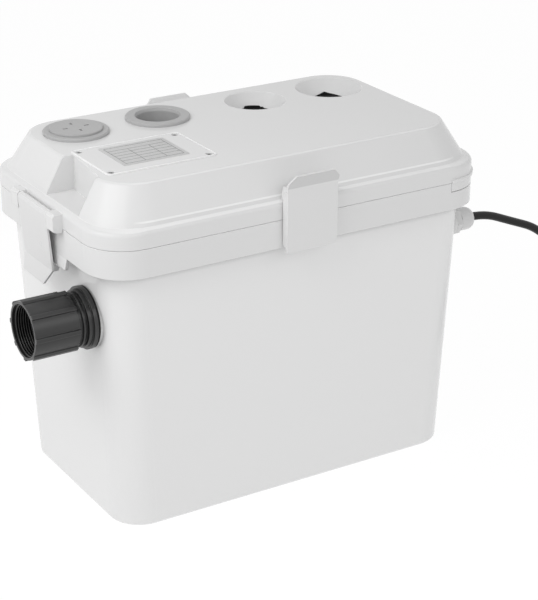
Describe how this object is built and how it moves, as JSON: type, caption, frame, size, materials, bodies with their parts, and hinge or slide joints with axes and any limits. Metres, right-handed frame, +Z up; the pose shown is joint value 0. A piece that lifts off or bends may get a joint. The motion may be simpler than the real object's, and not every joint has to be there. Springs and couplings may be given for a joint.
{
  "type": "sewage lifting station",
  "caption": "Compact box-shaped sewage lifting station with latched lid, inlet ports on top, threaded discharge socket, internal pump and coiled mains lead.",
  "frame": {"origin": "centre of the tank's underside, on the floor", "axes": "+X along the long side towards the cable gland, -X towards the black discharge socket, -Y towards the viewer of the picture (front), +Z up"},
  "size_m": [0.7398, 0.3316, 0.332],
  "materials": {
    "white_shell": "satin moulded plastic",
    "latch_white": "satin moulded plastic",
    "grey_seal": "soft grey rubber",
    "grey_cap": "matte moulded plastic",
    "black_rubber": "matte black rubber",
    "black_socket": "black moulded plastic",
    "white_pipe": "extruded plastic pipe",
    "gland_grey": "grey moulded plastic",
    "cord_black": "black cable sheath",
    "tie_white": "nylon tie",
    "plug_metal": "nickel plated pins",
    "steel": "stainless steel",
    "pump_plastic": "glass-filled plastic",
    "float_orange": "moulded float",
    "motor_metal": "cast aluminium",
    "stator_core": "stacked sheet steel",
    "board_green": "circuit board",
    "block_grey": "moulded terminal block",
    "carbon": "porous activated carbon"
  },
  "bodies": {
    "tank": {"tank": "white_shell", "lid_gasket": "black_rubber", "front_latch_pin": "steel", "rear_latch_pin": "steel", "adapter_gasket": "black_rubber", "discharge_adapter": "black_socket", "adapter_nut": "black_socket", "check_valve_body": "black_socket", "flap_pin": "steel", "discharge_elbow": "white_pipe", "riser_coupling": "black_rubber", "coupling_clamps": "steel", "pump_feet": "black_rubber", "suction_strainer": "pump_plastic", "pump_casing": "pump_plastic", "shaft_seal": "black_rubber", "casing_screws": "steel", "motor_housing": "motor_metal", "lower_bearing": "steel", "upper_bearing": "steel", "motor_cap": "motor_metal", "stator": "stator_core", "float_bracket": "steel", "float_pin": "steel", "gland_body": "gland_grey", "gland_locknut": "gland_grey", "gland_seal": "black_rubber", "gland_nut": "gland_grey", "motor_cable": "cord_black", "power_cord": "cord_black", "cord_coil": "cord_black", "coil_tie": "tie_white", "plug_body": "cord_black", "plug_pins": "plug_metal"},
    "rotor": {"rotor_shaft": "steel", "impeller": "pump_plastic", "impeller_nut": "steel"},
    "float": {"float_arm": "pump_plastic", "float_ball": "float_orange"},
    "flap": {"valve_flap": "black_socket"},
    "lid": {"lid": "white_shell", "terminal_lid": "white_shell", "terminal_screws": "steel", "circuit_board": "board_green", "terminal_block": "block_grey", "inlet_seal": "grey_seal", "vent_seal": "grey_seal", "near_membrane": "black_rubber", "far_membrane": "black_rubber", "left_latch_pin": "steel"},
    "vent": {"vent_cap": "grey_cap", "carbon_filter": "carbon"},
    "front_latch": {"front_latch": "latch_white"},
    "rear_latch": {"rear_latch": "latch_white"},
    "left_latch": {"left_latch": "latch_white"},
    "sleeve": {"union_sleeve": "black_socket"}
  },
  "joints": [
    {"name": "lid_lift", "type": "slide", "parent": "tank", "child": "lid", "axis": [0, 0, 1], "range_m": [0, 0.075]},
    {"name": "front_latch_swing", "type": "hinge", "parent": "tank", "child": "front_latch", "pos_m": [0, -0.1252, 0.254], "axis": [1, 0, 0], "range_deg": [0, 80]},
    {"name": "rear_latch_swing", "type": "hinge", "parent": "tank", "child": "rear_latch", "pos_m": [0, 0.1252, 0.254], "axis": [-1, 0, 0], "range_deg": [0, 80]},
    {"name": "left_latch_swing", "type": "hinge", "parent": "lid", "child": "left_latch", "pos_m": [-0.2055, 0, 0.2874], "axis": [0, 1, 0], "range_deg": [0, 80]},
    {"name": "vent_cap_pull", "type": "slide", "parent": "lid", "child": "vent", "axis": [0, 0, 1], "range_m": [0, 0.045]},
    {"name": "sleeve_turn", "type": "hinge", "parent": "tank", "child": "sleeve", "pos_m": [-0.228, -0.059, 0.1985], "axis": [1, 0, 0], "continuous": true},
    {"name": "impeller_spin", "type": "hinge", "parent": "tank", "child": "rotor", "pos_m": [-0.008, -0.014, 0.05], "axis": [0, 0, 1], "continuous": true},
    {"name": "float_swing", "type": "hinge", "parent": "tank", "child": "float", "pos_m": [0.058, -0.014, 0.15], "axis": [0, -1, 0], "range_deg": [0, 60]},
    {"name": "flap_swing", "type": "hinge", "parent": "tank", "child": "flap", "pos_m": [-0.1322, -0.059, 0.216], "axis": [0, 1, 0], "range_deg": [0, 60]}
  ],
  "couplings": [
    {"joint": "front_latch_swing", "follows": "lid_lift", "rad_per_m": 18.5},
    {"joint": "rear_latch_swing", "follows": "lid_lift", "rad_per_m": 18.5},
    {"joint": "left_latch_swing", "follows": "lid_lift", "rad_per_m": 18.5}
  ]
}
